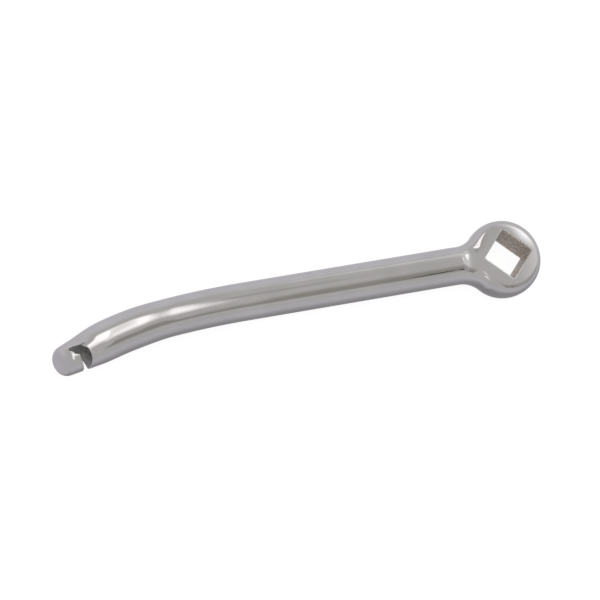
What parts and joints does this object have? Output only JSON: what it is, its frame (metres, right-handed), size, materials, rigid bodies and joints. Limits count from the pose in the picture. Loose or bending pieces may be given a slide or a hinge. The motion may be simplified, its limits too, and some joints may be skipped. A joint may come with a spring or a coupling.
{
  "type": "winch handle",
  "caption": "Polished steel hand lever with a ball-shaped head pierced by a diagonal square socket, a round bar with a gentle bend and a hooked, slotted nose.",
  "frame": {"origin": "centre of the square socket, half way through the head", "axes": "+Z along the socket, the straight part of the bar runs toward -X, and the bar bends toward -Y near the hook"},
  "size_m": [0.2736, 0.0427, 0.0208],
  "materials": {
    "socket_head": "mirror-polished stainless steel, as-cast inside the socket",
    "lever_bar": "mirror-polished stainless steel, machined and darker inside the hook slot"
  },
  "bodies": {
    "root": {"socket_head": "socket_head", "lever_bar": "lever_bar"}
  },
  "joints": []
}
